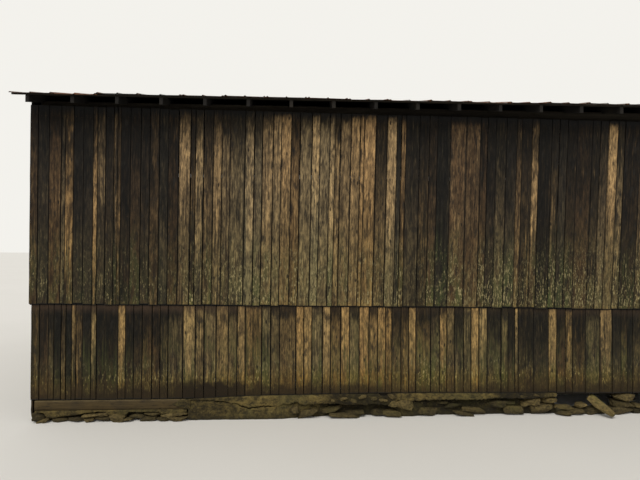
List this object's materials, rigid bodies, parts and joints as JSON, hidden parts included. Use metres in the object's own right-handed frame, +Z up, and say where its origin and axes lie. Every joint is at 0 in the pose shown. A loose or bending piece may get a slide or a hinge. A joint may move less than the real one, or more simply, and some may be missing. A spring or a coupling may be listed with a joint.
{
  "type": "weathered timber barn",
  "caption": "Long gabled barn of a heavy timber frame, clad in two lapped courses of upright boards, with open eaves, a low crimped metal roof and a worn stone foundation.",
  "frame": {"origin": "ground level, under the middle of the building's bounding box", "axes": "+X along the long front wall, to the right as seen from the front; the front wall faces -Y; +Z up"},
  "size_m": [12.48, 10.2446, 6.0121],
  "materials": {
    "upper_boards": "weathered, unpainted",
    "lower_boards": "weathered, unpainted",
    "sill_timber": "weathered",
    "frame_timber": "dry",
    "sawn_timber": "dry",
    "roof_metal": "dull, weathered",
    "parged_masonry": "rough",
    "fieldstone": "rough"
  },
  "bodies": {
    "root": {"front_left_stones": "fieldstone", "front_foundation": "parged_masonry", "front_rubble": "fieldstone", "front_stone_pier": "fieldstone", "leaning_stone": "fieldstone", "front_right_foundation": "parged_masonry", "back_foundation": "parged_masonry", "left_foundation": "parged_masonry", "right_foundation": "parged_masonry", "front_sill": "sill_timber", "back_sill": "sill_timber", "left_sill": "sill_timber", "right_sill": "sill_timber", "front_posts": "frame_timber", "back_posts": "frame_timber", "left_gable_posts": "frame_timber", "right_gable_posts": "frame_timber", "front_nailers": "sawn_timber", "back_nailers": "sawn_timber", "left_nailers": "sawn_timber", "right_nailers": "sawn_timber", "front_plate": "frame_timber", "back_plate": "frame_timber", "tie_beams": "frame_timber", "king_posts": "frame_timber", "queen_posts": "frame_timber", "ridge_board": "frame_timber", "front_purlin": "frame_timber", "back_purlin": "frame_timber", "front_rafters": "sawn_timber", "back_rafters": "sawn_timber", "front_battens": "sawn_timber", "back_battens": "sawn_timber", "front_roof_sheets": "roof_metal", "back_roof_sheets": "roof_metal", "ridge_cap": "roof_metal", "front_lower_siding": "lower_boards", "front_upper_siding": "upper_boards", "back_lower_siding": "lower_boards", "back_upper_siding": "upper_boards", "left_lower_siding": "lower_boards", "left_upper_siding": "upper_boards", "right_lower_siding": "lower_boards", "right_upper_siding": "upper_boards"}
  },
  "joints": []
}
